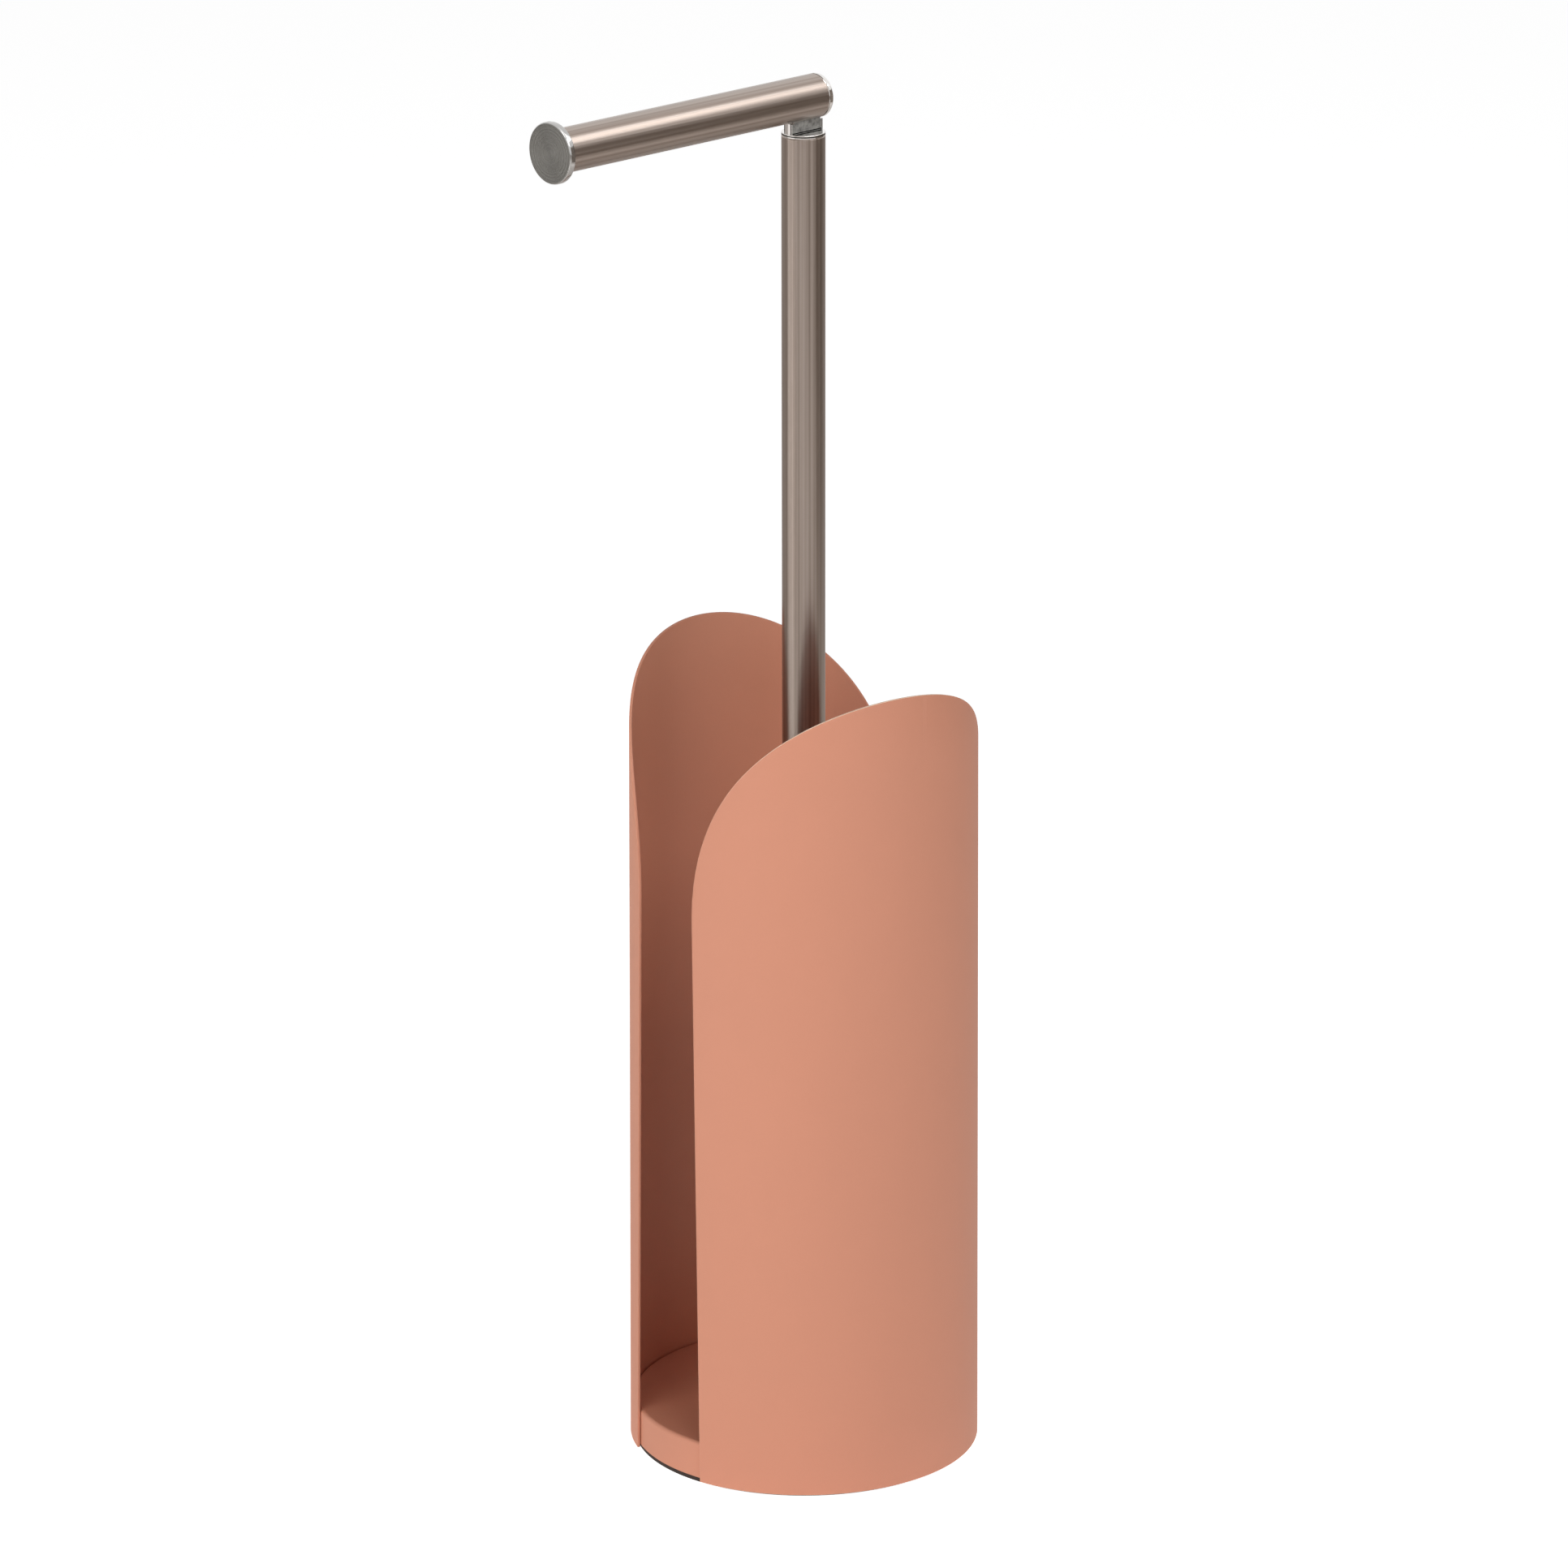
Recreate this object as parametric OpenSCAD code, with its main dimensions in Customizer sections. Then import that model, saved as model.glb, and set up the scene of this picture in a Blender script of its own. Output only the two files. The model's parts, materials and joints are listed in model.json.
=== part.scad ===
// Free-standing toilet roll holder: two arched sheet panels round a weighted base,
// a tube post, and a tube arm that tips up so that spare rolls slide down the post.
// Millimetres, +Z up. The origin is on the floor, on the axis of the post.
// The arm points along -X.

/* [Shell] */
// Outer diameter of the shell at its foot
shell_d = 148; // [120:1:170]
// Thickness of the panels' steel sheet
sheet_t = 1.2; // [0.8:0.1:2]
// Width of the front slot at the foot, along the sheet
front_slot_w = 47; // [42:1:60]
// Width of the rear slot at the foot, along the sheet
rear_slot_w = 60; // [42:1:75]
// How much wider a panel is where its arch starts than at its foot
panel_flare = 5; // [0:0.5:8]
// Height of a panel's straight sides
panel_side_h = 249.5; // [150:0.5:320]
// Rise of the arch above the straight sides
arch_rise = 96; // [60:1:120]
// How far in the top of a panel lies, towards the post
panel_top_inset = 1.6; // [0:0.1:3]
// Turn of the front slot's middle line from the line of the arm, in degrees
slot_turn = 7.8; // [-15:0.1:15]

/* [Base] */
// Height of the panels' lower edges above the floor
panel_lift = 1.2; // [0.5:0.1:2]
// Gap between a panel and the base rim
rim_gap = 0.3; // [0.2:0.05:1]
// Thickness of the soft foot pad
foot_t = 2.3; // [1.5:0.1:4]
// How far the foot pad stays inside the base rim
foot_inset = 0.5; // [0.2:0.1:3]
// Height of the base pan from its lower edge to its top face
pan_h = 15.9; // [14:0.1:24]
// Thickness of the base pan's sheet
pan_t = 1.2; // [0.8:0.1:2]
// Radius of the rounded edge at the base pan's top
pan_edge_r = 1.6; // [1.3:0.1:3]
// Thickness of the bottom cover
cover_t = 2; // [1.8:0.1:3]
// Radial room for the studs and nuts round the ballast disc
weight_gap = 11.3; // [10:0.1:20]

/* [Post] */
// Outer diameter of the post and of the arm
tube_d = 18; // [17:0.5:20]
// Wall of the tubes
tube_wall = 1; // [0.8:0.1:1.2]
// Height of the arm's axis above the floor
arm_axis_h = 582.9; // [500:0.1:650]
// Length of the threaded plug in the foot of the post
insert_l = 22; // [20:1:40]

/* [Tip-up joint] */
// Distance from the top of the collar to the arm's axis
joint_drop = 13.8; // [13.2:0.1:20]
// Height of the collar that shows above the post
collar_h = 1.6; // [0.8:0.1:3]
// Length of the collar's bush inside the post
bush_l = 10; // [6:0.5:20]
// Thickness of the tongue
tongue_t = 4.8; // [3:0.1:5]
// How far the tongue's round ends stay inside the outline of the post
tongue_inset = 0.1; // [0:0.1:1]
// Half length of the tongue's neck inside the arm
neck_half_l = 7.2; // [6.5:0.1:7.3]
// Diameter of the hinge pin
pin_d = 4; // [3:0.1:5]
// Thickness of each friction washer
friction_t = 0.4; // [0.2:0.05:0.6]
// Distance from the hinge pin back to the end face of the arm
arm_back_l = 8.9; // [8.5:0.1:10]
// Length of the polished rim at the back end of the arm
back_rim_l = 2.6; // [1.5:0.1:3]

/* [Arm] */
// Distance from the post's axis to the front face of the tip cap
arm_reach = 137.5; // [120:0.5:170]
// Diameter of the tip cap
cap_d = 25; // [22:0.1:30]
// Thickness of the tip cap's disc
cap_disc_t = 2.8; // [1.5:0.1:4]

/* [Fasteners] */
// Diameter of the post bolt
bolt_d = 8; // [6:0.5:9]
// Length of the post bolt under its head
bolt_l = 25; // [20:1:28]
// Diameter of the weld studs that hold the panels
stud_d = 4; // [3:0.5:5]
// Turn from one stud of a panel to the next, in degrees
stud_turn = 48; // [30:1:55]
// Diameter of the bottom cover's screws
screw_d = 3.5; // [3:0.1:4]
// Distance of the cover's screws from the edge of the ballast disc
screw_inset = 15; // [8:1:25]

/* [Hidden] */
$fn = 96;

// Overrun of every cut past the face that it opens
over = 1;
// Radial gap of a plug in its tube and of a screw in its thread
fit_gap = 0.05;
// Radial gap of the hinge pin where it is pressed in, and where it runs
press_gap = 0.02;
run_gap = 0.05;
// Gap on each side of a friction washer
washer_play = 0.03;
// Gap at the joint's stop, above the tongue's shoulders and over its head
stop_gap = 0.1;
shoulder_gap = 0.4;
head_gap = 0.3;
// Clearance of a bolt or stud in a plain hole
hole_gap = 0.25;

// Colours of the finishes that more than one piece has
coat_colour = [0.84, 0.58, 0.47];
brushed_colour = [0.62, 0.57, 0.53];
polished_colour = [0.85, 0.85, 0.86];

// Number of columns that make the round of a panel
sheet_cols = 96;
// Number of straight steps in a quarter of a rounded edge
edge_steps = 6;

// Heights, from the floor up
cover_z = foot_t;
weight_z = cover_z + cover_t;
base_top = foot_t + pan_h;
weight_top = base_top - pan_t;
collar_top = arm_axis_h - joint_drop;
post_top = collar_top - collar_h;

// Shell
shell_r = shell_d / 2;
panel_h = panel_side_h + arch_rise;
spring_z = panel_lift + panel_side_h;
// Width of a panel along the sheet, at its foot and where its arch starts
panel_foot_w = (PI * shell_d - front_slot_w - rear_slot_w) / 2;
panel_spring_w = panel_foot_w + panel_flare;
panel_turn = arc_deg(front_slot_w + panel_foot_w, shell_r);
slot_azimuth = 180 - slot_turn;

// Base
rim_r = shell_r - sheet_t - rim_gap;
rim_inner_r = rim_r - pan_t;
cover_gap = 0.2;
cover_r = rim_inner_r - cover_gap;
weight_r = rim_inner_r - weight_gap;
screw_circle_r = weight_r - screw_inset;

// Tubes
tube_r = tube_d / 2;
bore_r = tube_r - tube_wall;
plug_r = bore_r - fit_gap;
collar_chamfer = 0.4;
bush_wall = 2;
spigot_r = plug_r - bush_wall;
spigot_l = 13;

// Joint
tongue_end_r = tube_r - tongue_inset;
head_r = neck_half_l - head_gap;
neck_drop = 2;
shoulder_z = tube_r + shoulder_gap;
slot_half_w = tongue_t / 2 + friction_t + 2 * washer_play;
slot_front_l = neck_half_l + stop_gap;
slot_top_z = neck_half_l + head_gap;
pin_r = pin_d / 2;
pin_end_gap = 0.35;
pin_half_l = plug_r - pin_end_gap;
pin_chamfer = 0.4;
friction_r = 5.5;
back_edge_r = 1.2;
clevis_nose_l = 7;

// Arm
cap_r = cap_d / 2;
cap_front_r = 1;
cap_chamfer = 0.4;
cap_plug_l = 16;
cap_plug_chamfer = 1;
tube_front_l = arm_reach - cap_disc_t;
tube_back_l = arm_back_l - back_rim_l;

// Post bolt and its washers
bolt_r = bolt_d / 2;
bolt_af = 13;
bolt_head_h = 5.3;
head_room = 0.4;
spring_washer_t = 2;
spring_washer_r = 7.4;
spring_split = 1.5;
flat_washer_t = 1.6;
flat_washer_r = 8;
bolt_head_top = weight_z + head_room + bolt_head_h;
recess_top = bolt_head_top + spring_washer_t + flat_washer_t;
// Radial room for the washer and a socket in the recess of the ballast disc
recess_gap = 1;
recess_r = flat_washer_r + recess_gap;

// Weld studs and their nuts, with their gaps to the sheet that they hold
stud_r = stud_d / 2;
stud_seat = 0.1;
stud_l = 7;
stud_z = foot_t + pan_h / 2;
nut_af = 7;
nut_h = 3.2;
nut_seat = 0.15;

// Cover screws
screw_r = screw_d / 2;
screw_l = 9;
screw_head_r = 3.4;
screw_head_h = 1.6;
screw_count = 3;

// Angle, in degrees, of half a width laid round a circle of radius r
function arc_deg(width, r) = width / 2 / r * 180 / PI;

// Outer radius of a panel at a height
function panel_r(z) = shell_r - panel_top_inset * (z - panel_lift) / panel_h;

// A point at a radius, an angle and a height
function polar(r, deg, z) = [r * cos(deg), r * sin(deg), z];

// The four corners of the sheet in one column. The columns stand closer together
// towards the sides of the panel, where the arch is steep.
function sheet_column(turn) =
    let (foot_deg = sin(turn) * arc_deg(panel_foot_w, shell_r),
         top_deg = sin(turn) * arc_deg(panel_spring_w, panel_r(spring_z)),
         top_z = spring_z + arch_rise * cos(turn))
    [polar(shell_r, foot_deg, panel_lift),
     polar(panel_r(top_z), top_deg, top_z),
     polar(panel_r(top_z) - sheet_t, top_deg, top_z),
     polar(shell_r - sheet_t, foot_deg, panel_lift)];

// Points of a rounded corner about a centre, from one angle to another
function corner(centre, r, from_deg, to_deg) =
    [for (i = [0 : edge_steps])
        let (deg = from_deg + (to_deg - from_deg) * i / edge_steps)
        centre + r * [cos(deg), sin(deg)]];

// Sheet panel with straight sides and a round arch, rolled round the Z axis,
// its middle on +X
module sheet_panel() {
    columns = [for (i = [0 : sheet_cols]) sheet_column(180 * i / sheet_cols - 90)];
    points = [for (column = columns) each column];
    sides = [for (i = [0 : sheet_cols - 1], j = [0 : 3])
        let (a = 4 * i + j, b = 4 * i + (j + 1) % 4)
        each [[a, b, b + 4], [a, b + 4, a + 4]]];
    last = 4 * sheet_cols;
    ends = [[0, 2, 1], [0, 3, 2],
            [last, last + 1, last + 2], [last, last + 2, last + 3]];
    polyhedron(points, concat(sides, ends), convexity = 6);
}

// Places a child on the middle line of the front panel and of the rear panel
module at_front_panel() {
    rotate([0, 0, slot_azimuth + panel_turn]) children();
}

module at_rear_panel() {
    rotate([0, 0, slot_azimuth - panel_turn]) children();
}

// Places a child at each stud, its Z axis pointing from the rim to the post
module at_studs() {
    for (turn = [-stud_turn, 0, stud_turn]) {
        at_front_panel() rotate([0, 0, turn]) stud_axis() children();
        at_rear_panel() rotate([0, 0, turn]) stud_axis() children();
    }
}

module stud_axis() {
    translate([0, 0, stud_z]) rotate([0, -90, 0]) children();
}

// Places a child at each screw of the bottom cover
module at_cover_screws() {
    for (i = [0 : screw_count - 1])
        rotate([0, 0, 360 * i / screw_count])
            translate([screw_circle_r, 0, 0]) children();
}

// Puts a child on the hinge pin: X along the arm's line, Y along the pin
module at_pivot() {
    translate([0, 0, arm_axis_h]) children();
}

// Turns a child's Z axis to the line of the arm, towards the tip
module along_arm() {
    at_pivot() rotate([0, -90, 0]) children();
}

// Turns a child's Z axis to the line of the hinge pin
module along_pin() {
    at_pivot() rotate([-90, 0, 0]) children();
}

module ring(outer_r, inner_r, h) {
    difference() {
        cylinder(r = outer_r, h = h);
        translate([0, 0, -over]) cylinder(r = inner_r, h = h + 2 * over);
    }
}

// Round bar with both ends chamfered, centred on the origin
module dowel(r, half_l, chamfer) {
    rotate_extrude()
        polygon([[0, -half_l], [r - chamfer, -half_l], [r, chamfer - half_l],
                 [r, half_l - chamfer], [r - chamfer, half_l], [0, half_l]]);
}

module front_panel() {
    color(coat_colour) at_front_panel() sheet_panel();
}

module rear_panel() {
    color(coat_colour) at_rear_panel() sheet_panel();
}

// Studs welded to the inner faces of the panels, through the base rim
module panel_studs() {
    color("silver") at_studs()
        translate([0, 0, stud_seat + sheet_t - shell_r])
            cylinder(r = stud_r, h = stud_l);
}

// Nuts on the studs, against the inner face of the rim
module panel_nuts() {
    color("silver") at_studs()
        translate([0, 0, nut_seat - rim_inner_r])
            difference() {
                cylinder(r = nut_af / sqrt(3), h = nut_h, $fn = 6);
                translate([0, 0, -over])
                    cylinder(r = stud_r + fit_gap, h = nut_h + 2 * over);
            }
}

// Pressed pan with a rounded edge, a hole for the post bolt and stud holes
module base_pan() {
    inner_edge_r = pan_edge_r - pan_t;
    edge_centre = [rim_r - pan_edge_r, base_top - pan_edge_r];
    color(coat_colour) difference() {
        rotate_extrude()
            polygon(concat(
                [[0, weight_top], [0, base_top]],
                corner(edge_centre, pan_edge_r, 90, 0),
                [[rim_r, foot_t], [rim_inner_r, foot_t]],
                corner(edge_centre, inner_edge_r, 0, 90)));
        translate([0, 0, weight_top - over])
            cylinder(r = bolt_r + hole_gap, h = pan_t + 2 * over);
        at_studs() translate([0, 0, -rim_r - over])
            cylinder(r = stud_r + hole_gap, h = pan_t + 2 * over);
    }
}

// Ballast disc with a recess for the head of the post bolt
module base_weight() {
    color("dimgray") difference() {
        translate([0, 0, weight_z])
            cylinder(r = weight_r, h = weight_top - weight_z);
        translate([0, 0, weight_z - over])
            cylinder(r = recess_r, h = recess_top - weight_z + over);
        translate([0, 0, weight_z])
            cylinder(r = bolt_r + hole_gap, h = weight_top - weight_z + over);
        at_cover_screws() translate([0, 0, weight_z - over])
            cylinder(r = screw_r + fit_gap, h = screw_l + 2 * over);
    }
}

// Plastic disc that closes the pan from below
module bottom_cover() {
    color([0.16, 0.15, 0.14]) difference() {
        translate([0, 0, cover_z]) cylinder(r = cover_r, h = cover_t);
        at_cover_screws() {
            translate([0, 0, cover_z - over])
                cylinder(r = screw_r + hole_gap, h = cover_t + 2 * over);
            translate([0, 0, cover_z]) screw_head(hole_gap);
        }
    }
}

// Countersunk head, point up, with its flat face at the origin
module screw_head(gap) {
    cylinder(r1 = screw_head_r + gap, r2 = screw_r + gap, h = screw_head_h);
}

module cover_screws() {
    color("silver") at_cover_screws() translate([0, 0, cover_z]) {
        screw_head(0);
        cylinder(r = screw_r, h = screw_l);
    }
}

// Soft pad that the holder stands on
module foot_pad() {
    color([0.13, 0.11, 0.10]) cylinder(r = rim_r - foot_inset, h = foot_t);
}

// Hexagon bolt that pulls the post down on the base
module post_bolt() {
    color("silver") translate([0, 0, bolt_head_top]) {
        cylinder(r = bolt_r, h = bolt_l);
        translate([0, 0, -bolt_head_h])
            cylinder(r = bolt_af / sqrt(3), h = bolt_head_h, $fn = 6);
    }
}

// Split lock washer above the bolt's head
module spring_washer() {
    color("gray") translate([0, 0, bolt_head_top]) difference() {
        ring(spring_washer_r, bolt_r + fit_gap, spring_washer_t);
        translate([0, -spring_split / 2, -over])
            cube([spring_washer_r + over, spring_split, spring_washer_t + 2 * over]);
    }
}

module flat_washer() {
    color("silver") translate([0, 0, bolt_head_top + spring_washer_t])
        ring(flat_washer_r, bolt_r + hole_gap, flat_washer_t);
}

// Threaded plug fixed in the foot of the post
module post_insert() {
    color("gray") translate([0, 0, base_top]) ring(plug_r, bolt_r + fit_gap, insert_l);
}

module post_tube() {
    color(brushed_colour) translate([0, 0, base_top])
        ring(tube_r, bore_r, post_top - base_top);
}

// Polished ring on the end of the post, with a bush inside the tube
module post_collar() {
    color(polished_colour) difference() {
        rotate_extrude()
            polygon([[0, post_top - bush_l], [plug_r, post_top - bush_l],
                     [plug_r, post_top], [tube_r, post_top],
                     [tube_r, collar_top - collar_chamfer],
                     [tube_r - collar_chamfer, collar_top], [0, collar_top]]);
        translate([0, 0, post_top - bush_l - over])
            cylinder(r = spigot_r + fit_gap, h = bush_l + collar_h + 2 * over);
    }
}

// Flat bar of the tongue's thickness, centred across the arm
module tongue_bar(half_l, low_z, high_z) {
    translate([-half_l, -tongue_t / 2, low_z])
        cube([2 * half_l, tongue_t, high_z - low_z]);
}

// Casting that stands in the collar: round spigot, flat tongue with rounded ends
// below the arm, and a narrower neck with a round head inside it
module hinge_tongue() {
    color([0.56, 0.57, 0.56]) difference() {
        union() {
            translate([0, 0, collar_top - spigot_l])
                cylinder(r = spigot_r, h = spigot_l);
            intersection() {
                translate([0, 0, collar_top])
                    cylinder(r = tongue_end_r, h = joint_drop);
                tongue_bar(tongue_end_r, collar_top, arm_axis_h - shoulder_z);
            }
            tongue_bar(neck_half_l, collar_top, arm_axis_h - neck_drop);
            along_pin() cylinder(r = head_r, h = tongue_t, center = true);
        }
        along_pin()
            cylinder(r = pin_r + run_gap, h = tongue_t + 2 * over, center = true);
    }
}

module hinge_pin() {
    color("silver") along_pin() dowel(pin_r, pin_half_l, pin_chamfer);
}

// Thin discs between the tongue and the cheeks of the clevis
module friction_washers() {
    color([0.93, 0.92, 0.88]) along_pin() for (side = [0, 1]) mirror([0, 0, side])
        translate([0, 0, tongue_t / 2 + washer_play])
            ring(friction_r, pin_r + press_gap, friction_t);
}

// Room for the tongue in the arm: open below and at the back
module tongue_slot() {
    at_pivot() translate([-slot_front_l, -slot_half_w, -tube_r - over])
        cube([slot_front_l + arm_back_l + over, 2 * slot_half_w,
              tube_r + over + slot_top_z]);
}

// Plug in the back end of the arm, with a polished rim and two cheeks for the pin
module arm_clevis() {
    color(polished_colour) difference() {
        along_arm() rotate_extrude()
            polygon(concat(
                [[0, slot_front_l + clevis_nose_l], [0, -arm_back_l]],
                corner([tube_r - back_edge_r, back_edge_r - arm_back_l],
                       back_edge_r, -90, 0),
                [[tube_r, -tube_back_l], [plug_r, -tube_back_l],
                 [plug_r, slot_front_l + clevis_nose_l]]));
        tongue_slot();
        along_pin() cylinder(r = pin_r + press_gap, h = tube_d, center = true);
    }
}

module arm_tube() {
    color(brushed_colour) difference() {
        along_arm() translate([0, 0, -tube_back_l])
            ring(tube_r, bore_r, tube_back_l + tube_front_l);
        tongue_slot();
    }
}

// Turned cap on the tip of the arm: flat disc with a rounded front edge, and a plug
module tip_cap() {
    plug_end = tube_front_l - cap_plug_l;
    front_centre = [cap_r - cap_front_r, arm_reach - cap_front_r];
    color([0.78, 0.78, 0.77]) along_arm() rotate_extrude()
        polygon(concat(
            [[0, arm_reach]],
            corner(front_centre, cap_front_r, 90, 0),
            [[cap_r, tube_front_l + cap_chamfer], [cap_r - cap_chamfer, tube_front_l],
             [plug_r, tube_front_l], [plug_r, plug_end + cap_plug_chamfer],
             [plug_r - cap_plug_chamfer, plug_end], [0, plug_end]]));
}

front_panel();
rear_panel();
panel_studs();
panel_nuts();
base_pan();
base_weight();
bottom_cover();
cover_screws();
foot_pad();
post_bolt();
spring_washer();
flat_washer();
post_insert();
post_tube();
post_collar();
hinge_tongue();
hinge_pin();
friction_washers();
arm_clevis();
arm_tube();
tip_cap();
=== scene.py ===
import json
import math

import bmesh
import bpy
from mathutils import Matrix, Vector


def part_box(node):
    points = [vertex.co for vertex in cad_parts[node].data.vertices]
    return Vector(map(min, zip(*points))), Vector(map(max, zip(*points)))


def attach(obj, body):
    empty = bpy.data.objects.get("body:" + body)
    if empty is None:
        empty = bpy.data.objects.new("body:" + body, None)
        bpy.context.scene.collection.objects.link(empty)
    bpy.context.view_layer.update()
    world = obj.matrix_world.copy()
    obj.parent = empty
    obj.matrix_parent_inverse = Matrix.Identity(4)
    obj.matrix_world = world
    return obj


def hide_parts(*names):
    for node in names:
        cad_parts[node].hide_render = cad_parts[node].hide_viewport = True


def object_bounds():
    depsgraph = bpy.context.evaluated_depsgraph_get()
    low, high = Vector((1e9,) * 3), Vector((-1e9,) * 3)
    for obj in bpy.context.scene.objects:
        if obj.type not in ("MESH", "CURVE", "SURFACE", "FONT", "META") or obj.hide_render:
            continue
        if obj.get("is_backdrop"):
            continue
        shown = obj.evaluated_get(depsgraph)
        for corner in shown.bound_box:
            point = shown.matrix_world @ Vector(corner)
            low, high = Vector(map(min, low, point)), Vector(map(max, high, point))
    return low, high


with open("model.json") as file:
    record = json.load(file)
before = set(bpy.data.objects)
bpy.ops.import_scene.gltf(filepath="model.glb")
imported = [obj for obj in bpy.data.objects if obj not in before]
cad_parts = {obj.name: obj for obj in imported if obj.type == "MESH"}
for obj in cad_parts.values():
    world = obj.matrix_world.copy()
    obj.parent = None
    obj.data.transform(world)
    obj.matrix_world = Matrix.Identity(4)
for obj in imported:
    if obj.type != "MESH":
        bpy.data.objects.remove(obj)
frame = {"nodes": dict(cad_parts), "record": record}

bl_info = {
    "name": "Toilet roll holder",
    "version": (1, 0, 0),
    "blender": (4, 5, 0),
    "location": "View3D > Sidebar > Holder",
    "description": "Dresses the packed toilet roll holder: sheet panels, base, post, joint, "
                   "arm and studio",
    "category": "Add Mesh",
}

MM = 0.001

# Points nearer than this are one point
WELD = 0.001 * MM
# How far outside a groove's corners the middle of one of its faces may be found
SLACK = 0.01 * MM
# Edges of the tongue that rise by more than this are upright
UPRIGHT = 1 * MM
# Part of a unit normal along a direction, past which a face is flat on an axis, lies on
# the sheet's wall, or is one of the tongue's cast faces
FLAT, WALL, CAST = 0.99995, 0.9, 0.97
# Angles in degrees past which an edge is shaded sharp, on the tongue and on all other
# pieces, and past which it is the sheet's rim
SHARP_TONGUE, SHARP, RIM = 50, 32, 60
# Steps round the arm and what is turned to fit it, the pin's holes, the stud holes and
# the tongue's head
ARM_STEPS, PIN_STEPS, STUD_STEPS, HEAD_STEPS = 128, 64, 32, 48

# Tint of the dark streaks and lightness of the pale ones on brushed tubes
DARK_STREAK, PALE_STREAK = (0.62, 0.56, 0.51), 1.42
# Direction of the faint lighter fan painted on the tip cap's turned face: a painted sheen in place
# of the directional sheen that a turned face has
PAINTED_SHEEN_FAN = (0, -0.936, 0.352)

# Lamps: name, azimuth and elevation seen from the post in degrees, distance, height of the
# aim, width and height in metres, watts, and whether matt surfaces and whether metal show it
LAMPS = (
    ("right_box", 35, 46, 2.3, 0.22, 1.7, 0.8, 18.8, True, True),
    ("front_left", -20, 16, 2.3, 0.22, 0.9, 0.6, 10, True, False),
    ("left_high", -40, 50, 2.3, 0.25, 0.7, 0.7, 5.5, True, True),
    ("left_low", -62, 5, 1.5, 0.05, 0.9, 0.25, 5.4, True, False),
    ("right_low", 78, 3, 0.9, 0.03, 0.6, 0.12, 0.5, True, False),
    ("top", 0, 88, 2.0, 0.35, 0.7, 0.7, 1, True, True),
    ("right_window", 94, 43, 1.9, 0.58, 0.55, 0.48, 4.0, False, True),
    ("high_window", 94, 64, 1.9, 0.58, 0.8, 0.9, 2.8, False, True),
    ("left_panel", -68, 0, 1.15, 0.44, 0.9, 0.8, 1.2, False, True),
)
# Cards that the camera doesn't see: name, azimuth, distance, width, height, their
# shade, and whether matt surfaces and whether metal show them
CARDS = (
    ("right_card", 96, 1.15, 1.3, 1.0, (0.33, 0.28, 0.24), True, True),
)
# Glow of the floor and of the world: for the camera, in reflections and on matt surfaces
FLOOR_GLOW, WORLD_GLOW = (0.92, 0.36, 0.53), (1.0, 1.1, 0.02)
# Paint of the floor, and the tint of its glow for the camera and in reflections
FLOOR_SHADE, FLOOR_SEEN, FLOOR_MIRRORED = (0.86, 0.86, 0.86), (1, 1, 1), (1, 0.90, 0.82)
# Width of the camera's sensor in mm, and how far it sees in metres
SENSOR, SIGHT = 36, 60

# Lowest and highest corners of the CAD nodes that give sizes their defaults
PANEL_LOW, PANEL_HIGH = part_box("front_panel")
PAN_LOW, PAN_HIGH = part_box("base_pan")
PAD_LOW, PAD_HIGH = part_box("foot_pad")
POST_LOW, POST_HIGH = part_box("post_tube")
COLLAR_LOW, COLLAR_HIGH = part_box("post_collar")
CAP_LOW, CAP_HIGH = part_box("tip_cap")
TONGUE_LOW, TONGUE_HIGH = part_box("hinge_tongue")
CLEVIS_LOW, CLEVIS_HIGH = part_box("arm_clevis")
TUBE_LOW, TUBE_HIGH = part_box("arm_tube")
CAD_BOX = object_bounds()


def length(name, description, default):
    """Property that holds a length in metres."""
    return bpy.props.FloatProperty(name=name, description=description, default=default,
                                   unit="LENGTH", precision=5)


def angle(name, description, default):
    """Property that holds an angle, its default given in degrees."""
    return bpy.props.FloatProperty(name=name, description=description,
                                   default=math.radians(default), subtype="ANGLE")


def number(name, description, default):
    """Property that holds a plain number."""
    return bpy.props.FloatProperty(name=name, description=description, default=default)


def count(name, description, default):
    """Property that holds a whole number."""
    return bpy.props.IntProperty(name=name, description=description, default=default, min=1)


def colour(name, description, default):
    """Property that holds a colour."""
    return bpy.props.FloatVectorProperty(name=name, description=description, default=default,
                                         subtype="COLOR", size=3, min=0, max=1)


class ShellSizes(bpy.types.PropertyGroup):
    foot_r: length("Foot radius", "Outer radius of the panels at their lower edge", 74 * MM)
    sheet_t: length("Sheet", "Thickness of the panels' sheet", 1.2 * MM)
    foot_z: length("Foot height", "Height of the panels' lower edge", PANEL_LOW.z)
    top_z: length("Top height", "Height of the arches' tops", PANEL_HIGH.z)
    rise: length("Arch rise", "Rise of the arch above the straight sides", 96 * MM)
    top_inset: length("Top inset", "How far in the top of a panel lies", 1.6 * MM)
    foot_half: angle("Foot half width", "Half of a panel's foot, round the post", 69.288)
    spring_half: angle("Spring half width", "Half of a panel where its arch starts", 72.355)
    front_azimuth: angle("Front panel", "Direction of the front panel's middle line", 259.684)
    rear_azimuth: angle("Rear panel", "Direction of the rear panel's middle line", 84.716)
    edge_r: length("Edge rounding", "Rounding that the coat gives the sheet's edges", 0.42 * MM)
    columns: count("Columns", "Steps round a panel", 88)
    rows: count("Rows", "Steps up a panel", 12)
    side_spread: number("Side spread", "Share of the column spacing that widens to the sides",
                        0.29)


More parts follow.
